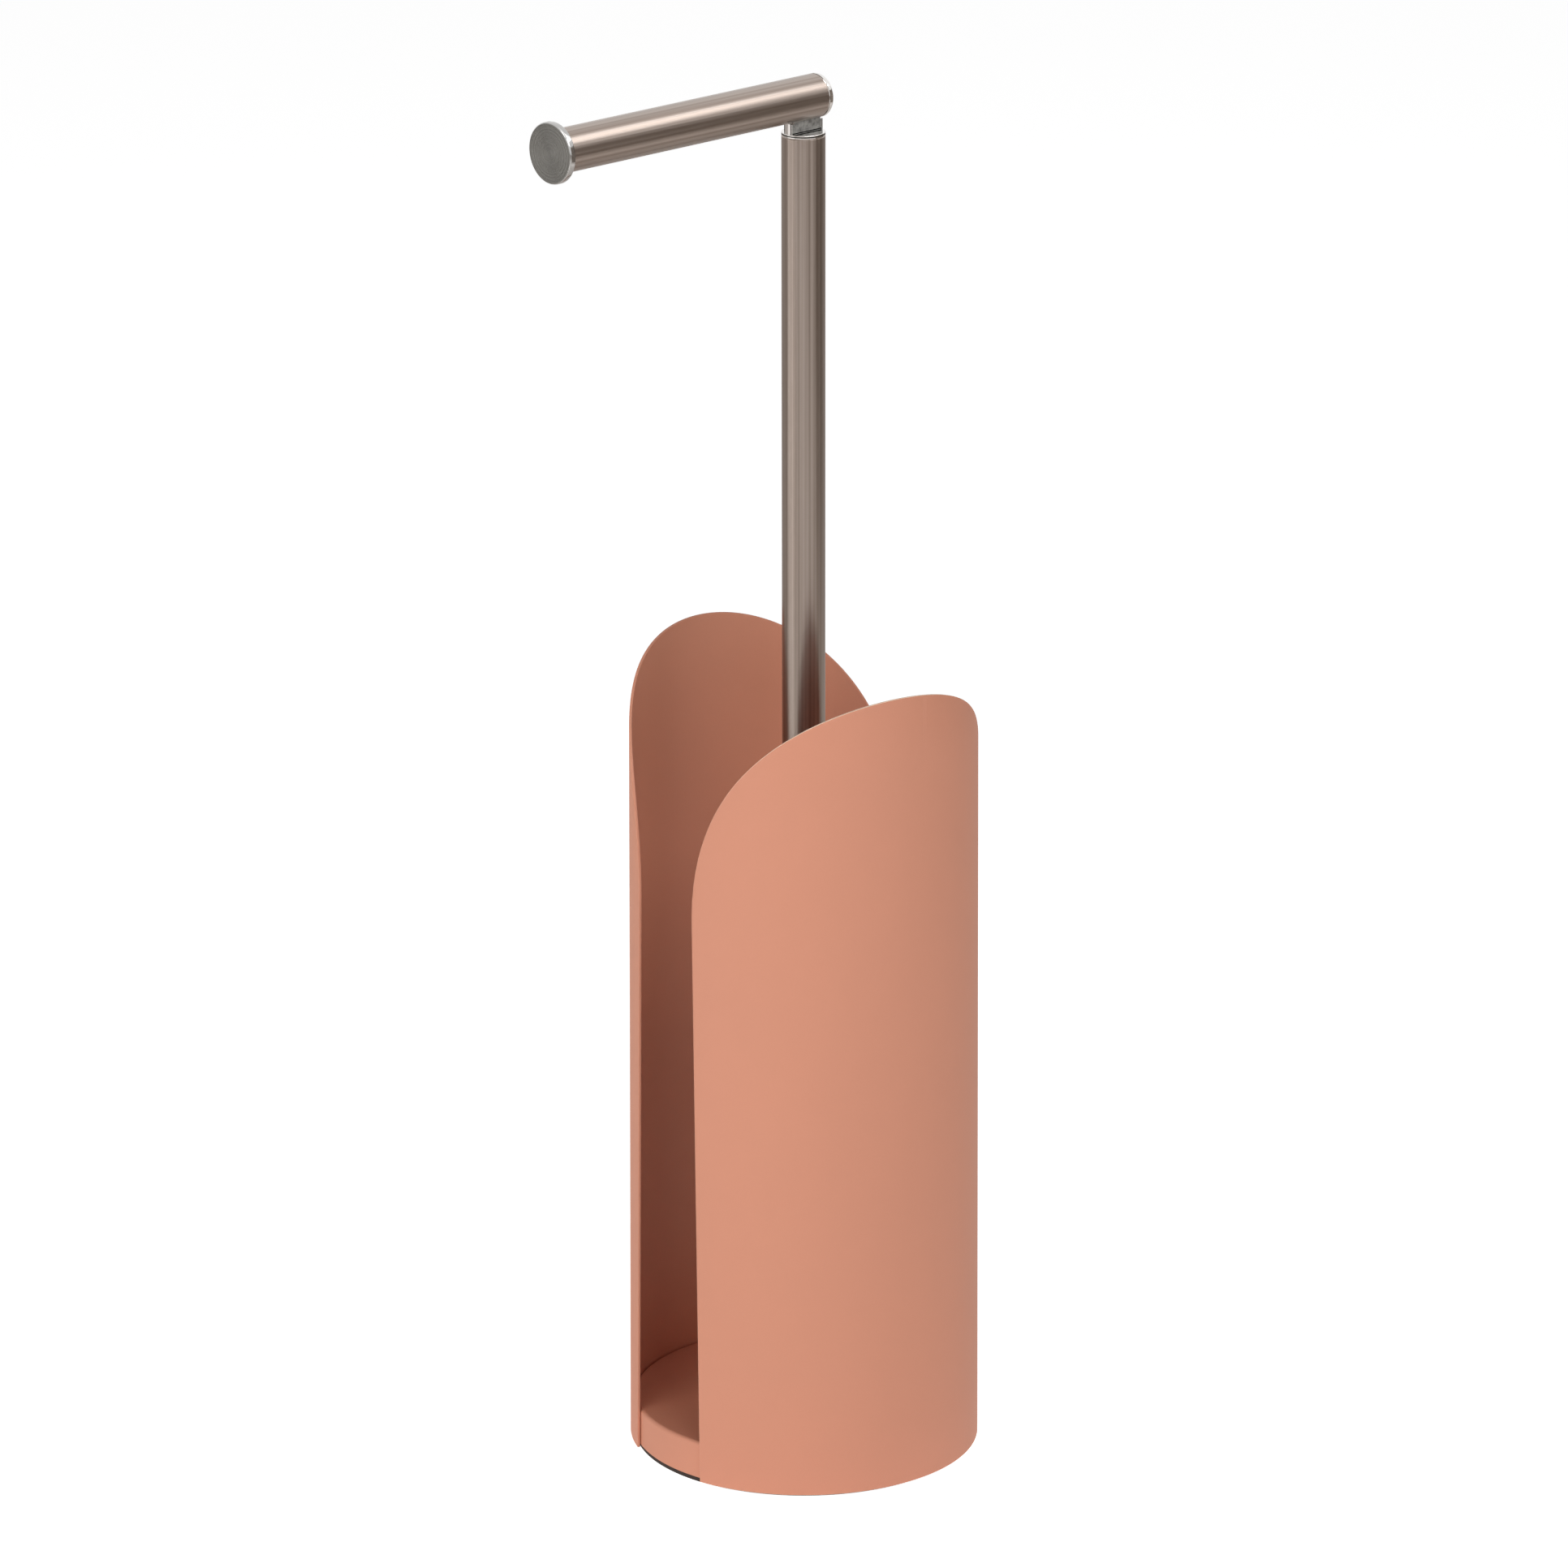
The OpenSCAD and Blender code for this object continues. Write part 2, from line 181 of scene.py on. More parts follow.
class BaseSizes(bpy.types.PropertyGroup):
    rim_r: length("Rim radius", "Outer radius of the base pan", PAN_HIGH.x)
    pan_t: length("Pan sheet", "Thickness of the base pan's sheet", 1.2 * MM)
    edge_r: length("Edge radius", "Radius of the pan's rounded edge", 1.6 * MM)
    stud_z: length("Stud height", "Height of the panel studs", 10.25 * MM)
    stud_hole: length("Stud hole", "Radius of the pan's holes for the studs", 2.25 * MM)
    stud_turn: angle("Stud spacing", "Angle from a panel's middle line to its outer studs", 48)
    hole_r: length("Hole radius", "Hole for the post bolt", 4.25 * MM)
    pad_r: length("Pad radius", "Outer radius of the foot pad", PAD_HIGH.x)
    pad_edge: length("Pad edge", "Rounding of the foot pad's lower edge", 0.6 * MM)
    steps: count("Steps", "Steps round the base", 192)


class PostSizes(bpy.types.PropertyGroup):
    tube_r: length("Tube radius", "Outer radius of the post and the arm", POST_HIGH.x)
    tube_wall: length("Tube wall", "Wall of the tubes", 1 * MM)
    collar_chamfer: length("Collar chamfer", "Chamfer at the collar's upper edge", 0.25 * MM)
    collar_groove: length("Collar groove", "Depth of the groove round the collar", 0.45 * MM)
    bush_r: length("Bush radius", "Radius of the collar's bush in the tube", 7.95 * MM)
    bush_hole_r: length("Bush hole", "Hole for the tongue's spigot", 6 * MM)
    end_break: length("Broken edge", "Broken edge of a cut tube end", 0.2 * MM)
    steps: count("Steps", "Steps round a tube", 96)


class JointSizes(bpy.types.PropertyGroup):
    tongue_half: length("Tongue half thickness", "Half the thickness of the tongue", 2.4 * MM)
    tongue_r: length("Tongue end radius", "Radius of the tongue's round ends", TONGUE_HIGH.x)
    corner_r: length("Corner", "Rounding of the tongue's upright corners", 0.45 * MM)
    shoulder: length("Shoulder drop", "Drop from the arm's axis to the tongue's shoulders",
                     9.4 * MM)
    neck_half: length("Neck half length", "Half length of the neck inside the arm", 7.2 * MM)
    neck_drop: length("Neck drop", "Drop from the arm's axis to the top of the neck", 2 * MM)
    head_r: length("Head radius", "Radius of the tongue's head round the pin", 6.9 * MM)
    spigot_r: length("Spigot radius", "Radius of the spigot in the collar", 5.95 * MM)
    hole_r: length("Pin hole", "Radius of the pin's hole in the tongue", 2.05 * MM)
    groove_w: length("Groove", "Width of the grooves round the tongue's cast faces", 0.5 * MM)
    groove_t: length("Groove depth", "Depth of the grooves in the flat faces", 0.5 * MM)
    end_t: length("End groove depth", "Depth of the grooves in the round ends", 0.7 * MM)
    groove_y: length("End groove", "Distance of the end grooves from the middle", 1.9 * MM)
    groove_z: length("Foot groove", "Height of the foot groove over the collar", 0.35 * MM)
    seat_r: length("Pin seat", "Radius of the pin's seat in the clevis", 2.02 * MM)
    slot_half: length("Slot half width", "Half the width of the slot in the arm", 2.86 * MM)
    slot_front: length("Slot front", "How far the slot runs towards the tip", 7.3 * MM)
    slot_top: length("Slot top", "Height of the slot's roof above the arm's axis", 7.5 * MM)
    rim_edge: length("Rim edge", "Rounding of the polished rim's edge", 1.2 * MM)
    rim_groove: length("Rim groove", "Width and depth of the groove between rim and tube",
                       0.4 * MM)
    rim_step: length("Rim step", "How far the rim stands proud of the plug in the tube",
                     1.05 * MM)


class ArmSizes(bpy.types.PropertyGroup):
    axis_z: length("Axis height", "Height of the arm's axis and of the hinge pin", 582.9 * MM)
    reach: length("Reach", "Distance from the post's axis to the cap's face", -CAP_LOW.x)
    cap_r: length("Cap radius", "Radius of the tip cap", CAP_HIGH.y)
    disc_t: length("Cap disc", "Thickness of the tip cap's disc", TUBE_LOW.x - CAP_LOW.x)
    front_r: length("Cap front edge", "Rounding of the disc's front edge", 0.7 * MM)
    back_r: length("Cap back edge", "Rounding of the disc's back edge", 0.4 * MM)
    face_t: length("Face depth", "Depth to which the disc's front edge looks like its face",
                   0.05 * MM)
    plug_r: length("Plug radius", "Radius of the cap's plug in the tube", 7.95 * MM)
    plug_l: length("Plug length", "Length of the cap's plug", 16 * MM)
    plug_chamfer: length("Plug chamfer", "Chamfer on the plug's end", 1 * MM)


class Finishes(bpy.types.PropertyGroup):
    coat: colour("Powder coat", "Colour of the coated sheet", (0.632, 0.262, 0.163))
    # Lighter copy of the coat for the front panel's cut edges: a painted highlight along the rim
    coat_painted_highlight: colour("Coated edge", "Colour of the coat on the front panel's cut edges",
                      (0.98, 0.68, 0.50))
    brushed: colour("Brushed steel", "Tint of the brushed tubes", (0.318, 0.272, 0.244))
    spun: colour("Spun steel", "Tint of the tip cap's turned face", (0.200, 0.197, 0.186))
    turned: colour("Turned steel", "Tint of the tip cap's turned edge", (0.46, 0.45, 0.44))
    polished: colour("Polished steel", "Tint of the polished parts", (0.74, 0.72, 0.70))
    cast: colour("Cast zinc", "Colour of the tongue casting", (0.36, 0.36, 0.35))
    # Near-black paint for the grooves between bright parts: painted shade that stands for the
    # darkness in them
    groove_painted_shade: colour("Recess", "Colour of the dull grooves between bright parts",
                   (0.02, 0.018, 0.016))
    plated: colour("Plated steel", "Tint of the plated fasteners", (0.60, 0.61, 0.62))
    ballast: colour("Ballast", "Colour of the ballast disc", (0.10, 0.10, 0.105))
    rubber: colour("Foot rubber", "Colour of the foot pad", (0.030, 0.020, 0.016))
    cover: colour("Cover plastic", "Colour of the bottom cover", (0.022, 0.020, 0.019))
    washer: colour("Washer plastic", "Colour of the friction washers", (0.72, 0.70, 0.65))


class StudioSizes(bpy.types.PropertyGroup):
    distance: length("Camera distance", "Level distance of the camera from the post", 3.28889)
    height: length("Camera height", "Height of the camera above the floor", 1.36737)
    turn: angle("Camera turn", "Turn of the camera's place round the post", -43.26)
    pitch: angle("Pitch", "How far the camera looks down", 18.133)
    yaw: angle("Yaw", "Turn of the view from the post", -0.143)
    roll: angle("Roll", "Roll of the view", -0.075)
    lens: number("Lens", "Focal length in mm on a 36 mm sensor", 190.905)
    floor_half: length("Floor", "Half the width of the floor", 12.0)


def sizes(context, group):
    """The property group of that name."""
    return getattr(context.scene, "holder_" + group)


class Wire:
    """A socket of a material. Arithmetic on it adds Math nodes."""

    def __init__(self, board, socket):
        self.board = board
        self.socket = socket

    def _maths(self, operation, first, second):
        return self.board.node("ShaderNodeMath", {"operation": operation}, {0: first, 1: second})

    def __add__(self, other):
        return self._maths("ADD", self, other)

    __radd__ = __add__

    def __sub__(self, other):
        return self._maths("SUBTRACT", self, other)

    def __rsub__(self, other):
        return self._maths("SUBTRACT", other, self)

    def __mul__(self, other):
        return self._maths("MULTIPLY", self, other)

    __rmul__ = __mul__

    def highest(self, other):
        return self._maths("MAXIMUM", self, other)


class Board:
    """The node tree of a material or the world."""

    def __init__(self, owner):
        owner.use_nodes = True
        self.tree = owner.node_tree
        self.tree.nodes.clear()

    def node(self, kind, settings=None, inputs=None, output=0):
        """Adds a node: its settings first, then the values or links of its sockets."""
        made = self.tree.nodes.new(kind)
        for name, value in (settings or {}).items():
            if name == "stops":
                self._stops(made.color_ramp, value)
            else:
                setattr(made, name, value)
        for key, value in (inputs or {}).items():
            if isinstance(value, Wire):
                self.tree.links.new(value.socket, made.inputs[key])
            else:
                made.inputs[key].default_value = value
        return Wire(self, made.outputs[output]) if len(made.outputs) else made

    @staticmethod
    def _stops(ramp, stops):
        while len(ramp.elements) < len(stops):
            ramp.elements.new(1)
        for element, (place, shade) in zip(ramp.elements, stops):
            element.position = place
            element.color = (shade, shade, shade, 1)

    def place(self, scale=(1, 1, 1), centre=(0, 0, 0)):
        """Object coordinates, scaled and then moved."""
        spot = self.node("ShaderNodeTexCoord", output="Object")
        return self.node("ShaderNodeMapping", {"vector_type": "POINT"},
                         {"Vector": spot, "Location": centre, "Scale": scale})

    def noise(self, where, scale, detail, roughness):
        """Noise with so many marks to the metre."""
        return self.node("ShaderNodeTexNoise", None,
                         {"Vector": where, "Scale": scale, "Detail": detail,
                          "Roughness": roughness}, output="Fac")

    def ramp(self, value, stops):
        """Spreads a value between stops, each a place and a shade of grey."""
        return self.node("ShaderNodeValToRGB", {"stops": stops}, {"Fac": value})

    def tint(self, factor, first, second):
        """Mixes two colours."""
        return self.node("ShaderNodeMix", {"data_type": "RGBA"},
                         {0: factor, 6: rgba(first), 7: rgba(second)}, output=2)

    def bump(self, height, distance, strength):
        """Relief of so many metres between a height of 0 and 1."""
        return self.node("ShaderNodeBump", None,
                         {"Height": height, "Distance": distance, "Strength": strength})

    def surface(self, shader):
        """Gives the material its shader."""
        self.node("ShaderNodeOutputMaterial", None, {"Surface": shader})


def rgba(value):
    """A colour with its alpha, or a wire as it is."""
    return value if isinstance(value, Wire) else (*value[:3], 1)


def shade_of(base, factor):
    """A colour made lighter or darker by a factor."""
    return tuple(min(1, channel * factor) for channel in base[:3])


def new_material(name):
    """A material and the board of its nodes."""
    material = bpy.data.materials.new(name)
    return material, Board(material)


def principled(board, **inputs):
    """Adds the shader and its output. Underscores in names stand for spaces."""
    values = {key.replace("_", " "): value for key, value in inputs.items()}
    values["Base Color"] = rgba(values["Base Color"])
    board.surface(board.node("ShaderNodeBsdfPrincipled", None, values))


def powder_coat(name, base_colour, sheen):
    """Satin powder coat: fine orange peel, faint cloudiness, a little sheen."""
    material, board = new_material(name)
    where = board.place()
    peel = board.noise(where, 900, 2.5, 0.55)
    grain = board.noise(where, 3200, 1.0, 0.5)
    cloud = board.noise(where, 22, 3.0, 0.6)
    speck = board.noise(where, 1500, 2.0, 0.5)
    tone = cloud * 0.6 + speck * 0.4
    base = board.tint(tone, shade_of(base_colour, 0.955), shade_of(base_colour, 1.045))
    principled(board, Base_Color=base, Roughness=sheen + cloud * 0.06 + grain * 0.06,
               Specular_IOR_Level=0.65,
               Normal=board.bump(peel * 0.8 + grain * 0.2, 0.06 * MM, 0.5))
    return material


def brushed_steel(finish, name, along):
    """Stainless tube brushed lengthways; along is the tube's axis, 0 for X and 2 for Z."""
    material, board = new_material(name)
    # Marks to the metre across the tube, and then along it
    fine, wide, soft = [2600] * 3, [680] * 3, [150] * 3
    fine[along], wide[along], soft[along] = 16, 2.2, 1.2
    hair = board.noise(board.place(fine), 1, 2.0, 0.6)
    band = board.ramp(board.noise(board.place(wide), 1, 1.0, 0.5), [(0.30, 0.0), (0.70, 1.0)])
    cloud = board.noise(board.place(soft), 1, 2.0, 0.5)
    tone = hair * 0.3 + band * 0.6 + cloud * 0.1
    warm = tuple(channel * share for channel, share in zip(finish.brushed, DARK_STREAK))
    base = board.tint(tone, warm, shade_of(finish.brushed, PALE_STREAK))
    principled(board, Base_Color=base, Metallic=1.0,
               Roughness=0.25 + hair * 0.10 + band * 0.04,
               Normal=board.bump(hair * 0.6 + band * 0.4, 0.05 * MM, 0.5))
    return material


def polished_steel(name, base_colour, blur):
    """Buffed or fine turned steel with faint wipe marks."""
    material, board = new_material(name)
    smear = board.noise(board.place(), 260, 3.0, 0.6)
    base = board.tint(smear, shade_of(base_colour, 0.94), shade_of(base_colour, 1.04))
    principled(board, Base_Color=base, Metallic=1.0, Roughness=blur + smear * 0.08,
               Normal=board.bump(smear, 0.02 * MM, 0.25))
    return material


def spun_steel(finish, axis_z):
    """Face turned on a lathe: fine rings round the arm's axis, and a faint lighter fan painted by
    angle round the centre, a painted sheen.
    """
    material, board = new_material("spun_steel")
    spot = board.place(centre=(0, 0, -axis_z))
    flat = board.node("ShaderNodeVectorMath", {"operation": "MULTIPLY"}, {0: spot, 1: (0, 1, 1)})
    radius = board.node("ShaderNodeVectorMath", {"operation": "LENGTH"}, {0: flat}, output="Value")
    ray = board.node("ShaderNodeVectorMath", {"operation": "NORMALIZE"}, {0: flat})
    painted_sheen = board.node("ShaderNodeVectorMath", {"operation": "DOT_PRODUCT"},
                      {0: ray, 1: PAINTED_SHEEN_FAN}, output="Value")
    fine = board.node("ShaderNodeTexNoise", {"noise_dimensions": "1D"},
                      {"W": radius * 9000, "Scale": 1.0, "Detail": 2.0}, output="Fac")
    broad = board.node("ShaderNodeTexNoise", {"noise_dimensions": "1D"},
                       {"W": radius * 1500, "Scale": 1.0, "Detail": 1.0}, output="Fac")
    smear = board.noise(board.place(), 180, 2.0, 0.5)
    # The last term lightens the face in a fixed fan by angle round the centre: a painted sheen
    tone = fine * 0.3 + broad * 0.2 + smear * 0.3 + painted_sheen * painted_sheen * 0.4
    base = board.tint(tone, shade_of(finish.spun, 0.76), shade_of(finish.spun, 1.24))
    principled(board, Base_Color=base, Metallic=1.0, Roughness=0.22 + broad * 0.10,
               Normal=board.bump(fine * 0.5 + broad * 0.5, 0.06 * MM, 0.8))
    return material


def cast_zinc(name, base_colour):
    """Matt casting with a mottled skin."""
    material, board = new_material(name)
    where = board.place()
    mottle = board.noise(where, 420, 3.0, 0.6)
    grain = board.noise(where, 2600, 2.0, 0.6)
    tone = board.ramp(mottle, [(0.34, 0.0), (0.66, 1.0)])
    base = board.tint(tone, shade_of(base_colour, 0.55), shade_of(base_colour, 1.30))
    principled(board, Base_Color=base, Metallic=0.85, Roughness=0.42 + grain * 0.14,
               Normal=board.bump(mottle * 0.6 + grain * 0.4, 0.09 * MM, 0.6))
    return material


def plated_steel(finish):
    """Zinc plating with faint clouding."""
    material, board = new_material("plated_steel")
    where = board.place()
    cloud = board.noise(where, 300, 3.0, 0.6)
    grain = board.noise(where, 2400, 2.0, 0.5)
    base = board.tint(cloud, shade_of(finish.plated, 0.86), shade_of(finish.plated, 1.12))
    principled(board, Base_Color=base, Metallic=1.0, Roughness=0.26 + grain * 0.14,
               Normal=board.bump(grain, 0.03 * MM, 0.5))
    return material


def ballast_steel(finish):
    """Rough mill scale on the ballast disc."""
    material, board = new_material("ballast_steel")
    where = board.place()
    scale_marks = board.noise(where, 90, 4.0, 0.65)
    pits = board.noise(where, 1300, 3.0, 0.6)
    base = board.tint(scale_marks, shade_of(finish.ballast, 0.7), shade_of(finish.ballast, 1.5))
    principled(board, Base_Color=base, Metallic=0.7, Roughness=0.50 + pits * 0.25,
               Normal=board.bump(pits, 0.2 * MM, 0.6))
    return material


def foot_rubber(finish):
    """Dull rubber with a pressed texture."""
    material, board = new_material("foot_rubber")
    where = board.place()
    press = board.node("ShaderNodeTexVoronoi", None, {"Vector": where, "Scale": 900.0},
                       output="Distance")
    dust = board.noise(where, 60, 3.0, 0.6)
    base = board.tint(dust, shade_of(finish.rubber, 0.8), shade_of(finish.rubber, 1.5))
    principled(board, Base_Color=base, Roughness=0.72 + dust * 0.14,
               Normal=board.bump(press, 0.1 * MM, 0.5))
    return material


def moulded_plastic(name, base_colour, sheen):
    """Moulded plastic with a fine spark-eroded texture."""
    material, board = new_material(name)
    where = board.place()
    spark = board.noise(where, 1800, 3.0, 0.6)
    cloud = board.noise(where, 70, 2.0, 0.5)
    base = board.tint(cloud, shade_of(base_colour, 0.93), shade_of(base_colour, 1.08))
    principled(board, Base_Color=base, Roughness=sheen + spark * 0.12,
               Normal=board.bump(spark, 0.06 * MM, 0.5))
    return material


def finish_piece(bm, name, node, body, materials, sharp=SHARP):
    """Turns a bmesh into the piece that stands for a CAD node."""
    bmesh.ops.remove_doubles(bm, verts=bm.verts, dist=WELD)
    bmesh.ops.recalc_face_normals(bm, faces=bm.faces)
    for face in bm.faces:
        face.smooth = max(abs(part) for part in face.normal) <= FLAT
    for edge in bm.edges:
        if edge.is_manifold and edge.calc_face_angle() > math.radians(sharp):
            edge.smooth = False
    mesh = bpy.data.meshes.new(name)
    bm.to_mesh(mesh)
    bm.free()
    for material in materials:
        mesh.materials.append(material)
    piece = bpy.data.objects.new(name, mesh)
    bpy.context.scene.collection.objects.link(piece)
    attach(piece, body)
    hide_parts(node)


def turned(profile, steps):
    """A closed profile of radius and height, spun round the Z axis."""
    bm = bmesh.new()
    points = [bm.verts.new((r, 0, z)) for r, z in profile]
    edges = [bm.edges.new((a, b)) for a, b in zip(points, points[1:])]
    if profile[0][0] > 0 or profile[-1][0] > 0:
        edges.append(bm.edges.new((points[-1], points[0])))
    bmesh.ops.spin(bm, geom=points + edges, cent=(0, 0, 0), axis=(0, 0, 1), angle=math.tau,
                   steps=steps, use_merge=True)
    bmesh.ops.remove_doubles(bm, verts=bm.verts, dist=WELD)
    bmesh.ops.recalc_face_normals(bm, faces=bm.faces)
    return bm


def arc(centre, r, start, end, steps):
    """Points of a rounded corner in a profile, angles in degrees."""
    return [(centre[0] + r * math.cos(math.radians(start + (end - start) * i / steps)),
             centre[1] + r * math.sin(math.radians(start + (end - start) * i / steps)))
            for i in range(steps + 1)]


def lay_along_arm(bm, axis_z):
    """Turns a piece spun round Z so that its axis is the arm's, towards the tip."""
    bmesh.ops.rotate(bm, verts=bm.verts, cent=(0, 0, 0),
                     matrix=Matrix.Rotation(-math.pi / 2, 3, "Y"))
    bmesh.ops.translate(bm, verts=bm.verts, vec=(0, 0, axis_z))


def rod(r, low, high, steps=96):
    """A round bar on the Z axis, closed at both ends."""
    bm = bmesh.new()
    bmesh.ops.create_cone(bm, cap_ends=True, segments=steps, radius1=r, radius2=r,
                          depth=high - low)
    bmesh.ops.translate(bm, verts=bm.verts, vec=(0, 0, (low + high) / 2))
    return bm


def block(low, high):
    """A square block between two corners."""
    bm = bmesh.new()
    bmesh.ops.create_cube(bm, size=1)
    low, high = Vector(low), Vector(high)
    bmesh.ops.scale(bm, verts=bm.verts, vec=high - low)
    bmesh.ops.translate(bm, verts=bm.verts, vec=(low + high) / 2)
    return bm


def pin_bar(r, axis_z, half_l):
    """A round bar on the line of the hinge pin."""
    bm = rod(r, -half_l, half_l, PIN_STEPS)
    bmesh.ops.rotate(bm, verts=bm.verts, cent=(0, 0, 0),
                     matrix=Matrix.Rotation(math.pi / 2, 3, "X"))
    bmesh.ops.translate(bm, verts=bm.verts, vec=(0, 0, axis_z))
    return bm


def worked(operation, bm, *tools):
    """Cuts a bmesh with others, or joins them to it, and returns the result."""
    for tool in tools:
        pair = []
        for part in (bm, tool):
            mesh = bpy.data.meshes.new("blank")
            part.to_mesh(mesh)
            part.free()
            pair.append(bpy.data.objects.new("blank", mesh))
            bpy.context.scene.collection.objects.link(pair[-1])
        change = pair[0].modifiers.new("work", "BOOLEAN")
        change.operation = operation
        change.solver = "EXACT"
        change.object = pair[1]
        bm = bmesh.new()
        bm.from_object(pair[0], bpy.context.evaluated_depsgraph_get())
        for spent in pair:
            bpy.data.meshes.remove(spent.data)
    return bm


def polar(r, turn, z):
    """A point at a radius, an angle and a height."""
    return Vector((r * math.cos(turn), r * math.sin(turn), z))


def sheet_panel(shell, azimuth):
    """One arched panel: a flat grid rolled round the post and given its thickness."""
    spring_z = shell.top_z - shell.rise
    height = shell.top_z - shell.foot_z
    bm = bmesh.new()
    bmesh.ops.create_grid(bm, x_segments=shell.columns, y_segments=shell.rows, size=1)
    for vert in bm.verts:
        across, up = vert.co.x, (vert.co.y + 1) / 2
        turn = math.pi / 2 * (across * (1 - shell.side_spread) + shell.side_spread * across ** 5)
        top_z = spring_z + shell.rise * math.cos(turn)
        top_r = shell.foot_r - shell.top_inset * (top_z - shell.foot_z) / height
        foot = polar(shell.foot_r, azimuth + math.sin(turn) * shell.foot_half, shell.foot_z)
        top = polar(top_r, azimuth + math.sin(turn) * shell.spring_half, top_z)
        vert.co = foot.lerp(top, up)
    grown = bmesh.ops.extrude_face_region(bm, geom=bm.faces[:])
    for vert in (item for item in grown["geom"] if isinstance(item, bmesh.types.BMVert)):
        vert.co -= Vector((vert.co.x, vert.co.y, 0)).normalized() * shell.sheet_t
    bmesh.ops.recalc_face_normals(bm, faces=bm.faces)
    rim = [edge for edge in bm.edges if edge.calc_face_angle() > math.radians(RIM)]
    bmesh.ops.bevel(bm, geom=rim, offset=shell.edge_r, offset_type="OFFSET", segments=3,
                    profile=0.5, affect="EDGES", clamp_overlap=True, material=-1)
    bm.normal_update()
    # Rim faces take the second slot, which on the front panel holds the lighter coat: a painted
    # edge highlight
    for face in bm.faces:
        middle = face.calc_center_median()
        outward = Vector((middle.x, middle.y, 0)).normalized()
        face.material_index = 1 if abs(face.normal.dot(outward)) < WALL else 0
    return bm


class HOLDER_OT_panels(bpy.types.Operator):
    """Makes the two arched sheet panels"""
    bl_idname = "holder.panels"
    bl_label = "Sheet panels"
    bl_options = {"REGISTER", "UNDO"}

    def execute(self, context):
        shell = sizes(context, "shell")
        # Only the front panel's rim gets the lighter coat, a painted highlight; the rear panel
        # keeps the plain coat
        coat, edge = (bpy.data.materials[name] for name in ("powder_coat", "powder_coat_edge"))
        for name, azimuth, coats in (("front", shell.front_azimuth, (coat, edge)),
                                     ("rear", shell.rear_azimuth, (coat, coat))):
            finish_piece(sheet_panel(shell, azimuth), name + "_panel_sheet", name + "_panel",
                         "stand", coats)
        return {"FINISHED"}


class HOLDER_OT_base(bpy.types.Operator):
    """Makes the base pan and the foot pad"""
    bl_idname = "holder.base"
    bl_label = "Base"
    bl_options = {"REGISTER", "UNDO"}

    def execute(self, context):
        base = sizes(context, "base")
        top, low = PAN_HIGH.z, PAN_LOW.z
        centre = (base.rim_r - base.edge_r, top - base.edge_r)
        profile = [(base.hole_r, top - base.pan_t), (base.hole_r, top)]
        profile += arc(centre, base.edge_r, 90, 0, steps=8)
        profile += [(base.rim_r, low), (base.rim_r - base.pan_t, low)]
        profile += arc(centre, base.edge_r - base.pan_t, 0, 90, steps=4)
        pan = worked("DIFFERENCE", turned(profile, base.steps), *self.stud_bars(context, base))
        finish_piece(pan, "base_pan_pressing", "base_pan", "stand",
                     [bpy.data.materials["powder_coat"]])
        pad = [(0, PAD_LOW.z), (base.pad_r - base.pad_edge, PAD_LOW.z)]
        pad += arc((base.pad_r - base.pad_edge, PAD_LOW.z + base.pad_edge), base.pad_edge,
                   -90, 0, steps=4)[1:]
        pad += [(base.pad_r, PAD_HIGH.z), (0, PAD_HIGH.z)]
        finish_piece(turned(pad, base.steps), "foot_pad_round", "foot_pad", "stand",
                     [bpy.data.materials["foot_rubber"]])
        return {"FINISHED"}

    def stud_bars(self, context, base):
        """Bars where the studs of both panels pass the wall of the pan."""
        shell, reach = sizes(context, "shell"), 4 * base.pan_t
        for middle in (shell.front_azimuth, shell.rear_azimuth):
            for side in (-1, 0, 1):
                bar = rod(base.stud_hole, base.rim_r - reach, base.rim_r + reach, STUD_STEPS)
                turn = Matrix.Rotation(middle + side * base.stud_turn, 3, "Z")
                bmesh.ops.rotate(bar, verts=bar.verts, cent=(0, 0, 0),
                                 matrix=turn @ Matrix.Rotation(math.pi / 2, 3, "Y"))
                bmesh.ops.translate(bar, verts=bar.verts, vec=(0, 0, base.stud_z))
                yield bar


class HOLDER_OT_post(bpy.types.Operator):
    """Makes the post tube and its collar"""
    bl_idname = "holder.post"
    bl_label = "Post"
    bl_options = {"REGISTER", "UNDO"}

    def execute(self, context):
        post = sizes(context, "post")
        r, bore, cut = post.tube_r, post.tube_r - post.tube_wall, post.end_break
        low, high = POST_LOW.z, POST_HIGH.z
        tube = [(bore, low), (r - cut, low), (r, low + cut), (r, high - cut), (r - cut, high),
                (bore, high)]
        finish_piece(turned(tube, post.steps), "post_tube_brushed", "post_tube", "stand",
                     [bpy.data.materials["brushed_steel_post"]])
        low, high, bush = COLLAR_LOW.z, COLLAR_HIGH.z, post.bush_r
        groove, groove_z = post.collar_groove, high - 2 * post.collar_chamfer
        ring = [(post.bush_hole_r, low), (bush, low), (bush, POST_HIGH.z), (r - cut, POST_HIGH.z),
                (r, POST_HIGH.z + cut), (r, groove_z - groove), (r - groove, groove_z - groove),
                (r - groove, groove_z), (r, groove_z)]
        ring += arc((r - post.collar_chamfer, high - post.collar_chamfer), post.collar_chamfer,
                    0, 90, steps=6)
        ring += [(post.bush_hole_r, high)]
        collar = turned(ring, post.steps)
        # Faces down in the collar's groove get the near-black paint: painted shade
        for face in collar.faces:
            middle = face.calc_center_median()
            sunk = bush < middle.xy.length < r - groove / 3
            level = groove_z - groove <= middle.z <= groove_z
            face.material_index = 1 if sunk and level else 0
        finish_piece(collar, "post_collar_polished", "post_collar", "stand",
                     [bpy.data.materials[name] for name in ("polished_steel", "dull_recess")])
        return {"FINISHED"}


